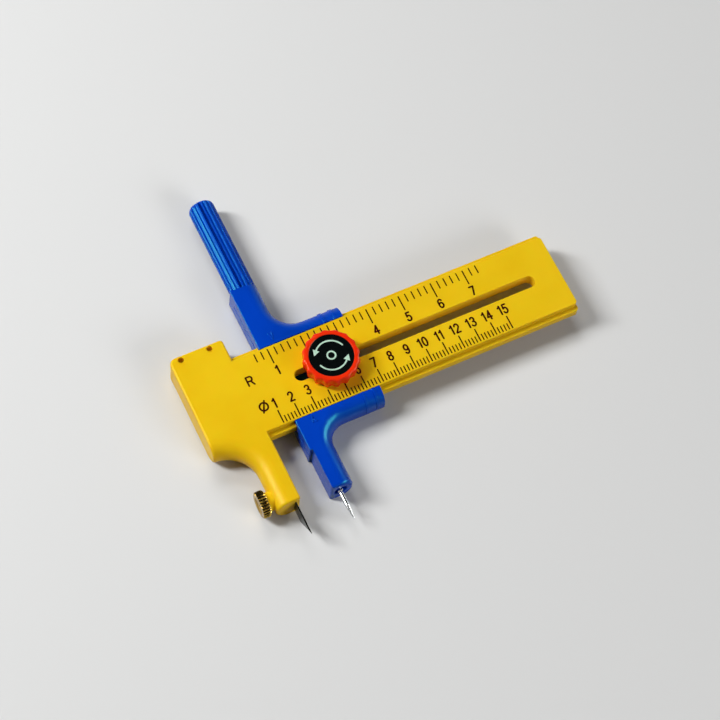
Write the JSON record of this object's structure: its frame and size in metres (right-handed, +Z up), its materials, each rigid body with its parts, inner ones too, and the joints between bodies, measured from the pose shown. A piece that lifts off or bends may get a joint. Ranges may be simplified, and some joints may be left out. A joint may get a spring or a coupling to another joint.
{
  "type": "circle cutter",
  "caption": "Compass cutter: a slotted scale beam with a blade arm, a slider with a needle arm and a fluted grip, and a clamp knob.",
  "frame": {"origin": "on the floor, under the middle of the object's bounding box at rest", "axes": "+X along the scale beam away from the head, +Y across the beam from the points towards the grip, +Z up from the flat underside to the scale"},
  "size_m": [0.1112, 0.1032, 0.0141],
  "materials": {
    "yellow_plastic": "satin moulded plastic",
    "blue_plastic": "gloss moulded plastic",
    "red_plastic": "satin moulded plastic",
    "black_label": "printed disc",
    "white_plastic": "plain",
    "brass": "turned",
    "blade_steel": "ground",
    "needle_steel": "bright",
    "screw_steel": "zinc plated"
  },
  "bodies": {
    "beam": {"beam_body": "yellow_plastic", "blade": "blade_steel", "spare_blades": "blade_steel"},
    "lid": {"storage_lid": "yellow_plastic"},
    "thumbscrew": {"blade_thumbscrew": "brass"},
    "blade_clamp": {"blade_nut": "brass"},
    "slider": {"slider_shell": "blue_plastic", "slider_cover": "blue_plastic", "cover_screws": "screw_steel", "needle": "needle_steel", "clamp_nut": "screw_steel"},
    "washer": {"washer": "white_plastic"},
    "clamp": {"knob": "red_plastic", "knob_label": "black_label", "knob_screw": "screw_steel"}
  },
  "joints": [
    {"name": "slider_travel", "type": "slide", "parent": "beam", "child": "slider", "axis": [1, 0, 0], "range_m": [-0.0078, 0.0619]},
    {"name": "knob_turn", "type": "hinge", "parent": "washer", "child": "clamp", "pos_m": [-0.0156, -0.00935, 0.012], "axis": [0, 0, 1], "range_deg": [0, 540]},
    {"name": "knob_lift", "type": "slide", "parent": "slider", "child": "washer", "axis": [0, 0, 1], "range_m": [0, 0.00075]},
    {"name": "lid_travel", "type": "slide", "parent": "beam", "child": "lid", "axis": [0, 1, 0], "range_m": [0, 0.018]},
    {"name": "thumbscrew_turn", "type": "hinge", "parent": "beam", "child": "thumbscrew", "pos_m": [-0.049, -0.03775, 0.0045], "axis": [-1, 0, 0], "range_deg": [0, 540]},
    {"name": "blade_nut_travel", "type": "slide", "parent": "beam", "child": "blade_clamp", "axis": [1, 0, 0], "range_m": [0, 0.000675]}
  ],
  "couplings": [
    {"joint": "knob_turn", "follows": "knob_lift", "rad_per_m": 12566},
    {"joint": "thumbscrew_turn", "follows": "blade_nut_travel", "rad_per_m": 13963}
  ]
}
